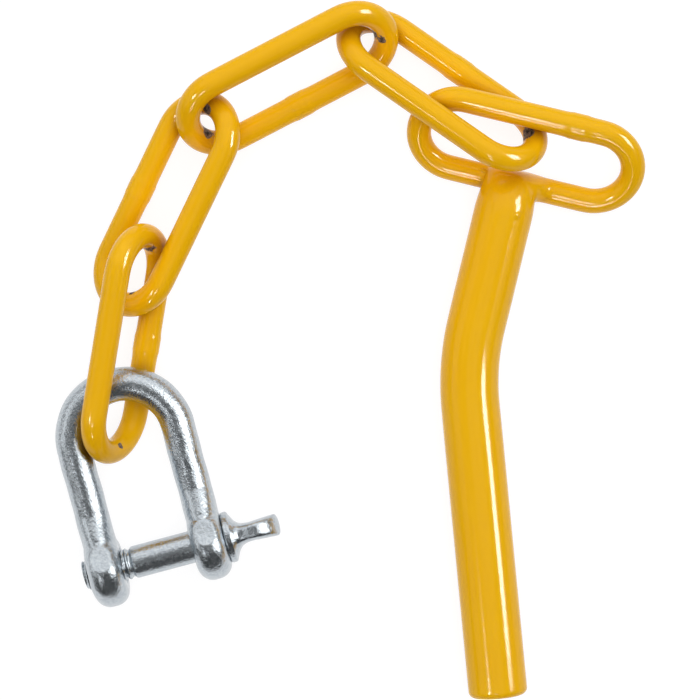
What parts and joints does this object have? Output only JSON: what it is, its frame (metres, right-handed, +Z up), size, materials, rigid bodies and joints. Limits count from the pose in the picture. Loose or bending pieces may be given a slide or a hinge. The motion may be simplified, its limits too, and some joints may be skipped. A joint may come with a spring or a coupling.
{
  "type": "lynch pin with chain and shackle",
  "caption": "Bent round locking pin with a chain link welded across its top, loose long links and a screw pin D shackle.",
  "frame": {"origin": "middle of the whole set, on the table it lies on", "axes": "+Z up from the table, +Y from the tip of the pin towards the chain, +X to the right as seen from above"},
  "size_m": [0.1404, 0.1655, 0.0267],
  "materials": {
    "yellow_powder_coat": "glossy powder coat over steel",
    "bright_zinc": "bright zinc plate on forged steel"
  },
  "bodies": {
    "pin": {"pin_bar": "yellow_powder_coat", "head_link": "yellow_powder_coat", "weld_bead": "yellow_powder_coat"},
    "link_1": {"chain_link_1": "yellow_powder_coat"},
    "link_2": {"chain_link_2": "yellow_powder_coat"},
    "link_3": {"chain_link_3": "yellow_powder_coat"},
    "link_4": {"chain_link_4": "yellow_powder_coat"},
    "shackle": {"shackle_bow": "bright_zinc"},
    "screw_pin": {"shackle_pin": "bright_zinc"}
  },
  "joints": [
    {"name": "link_1_swing", "type": "hinge", "parent": "pin", "child": "link_1", "pos_m": [0.02114, 0.0577, 0.01462], "axis": [0, 0, 1], "range_deg": [-8, 0]},
    {"name": "link_2_swing", "type": "hinge", "parent": "link_1", "child": "link_2", "pos_m": [0.00744, 0.07594, 0.00584], "axis": [0, 0, 1], "range_deg": [-30, 1]},
    {"name": "link_3_swing", "type": "hinge", "parent": "link_2", "child": "link_3", "pos_m": [-0.03678, 0.05744, 0.01368], "axis": [0, 0, 1], "range_deg": [-25, 1]},
    {"name": "link_4_swing", "type": "hinge", "parent": "link_3", "child": "link_4", "pos_m": [-0.04816, 0.01432, 0.00872], "axis": [0, 0, 1], "range_deg": [-3, 8]},
    {"name": "shackle_swing", "type": "hinge", "parent": "link_4", "child": "shackle", "pos_m": [-0.05047, -0.01059, 0.00808], "axis": [0, 0, 1], "range_deg": [-30, 1]},
    {"name": "screw_pin_draw", "type": "slide", "parent": "shackle", "child": "screw_pin", "axis": [0.9664, 0.2571, 0], "range_m": [0, 0.0275]}
  ]
}
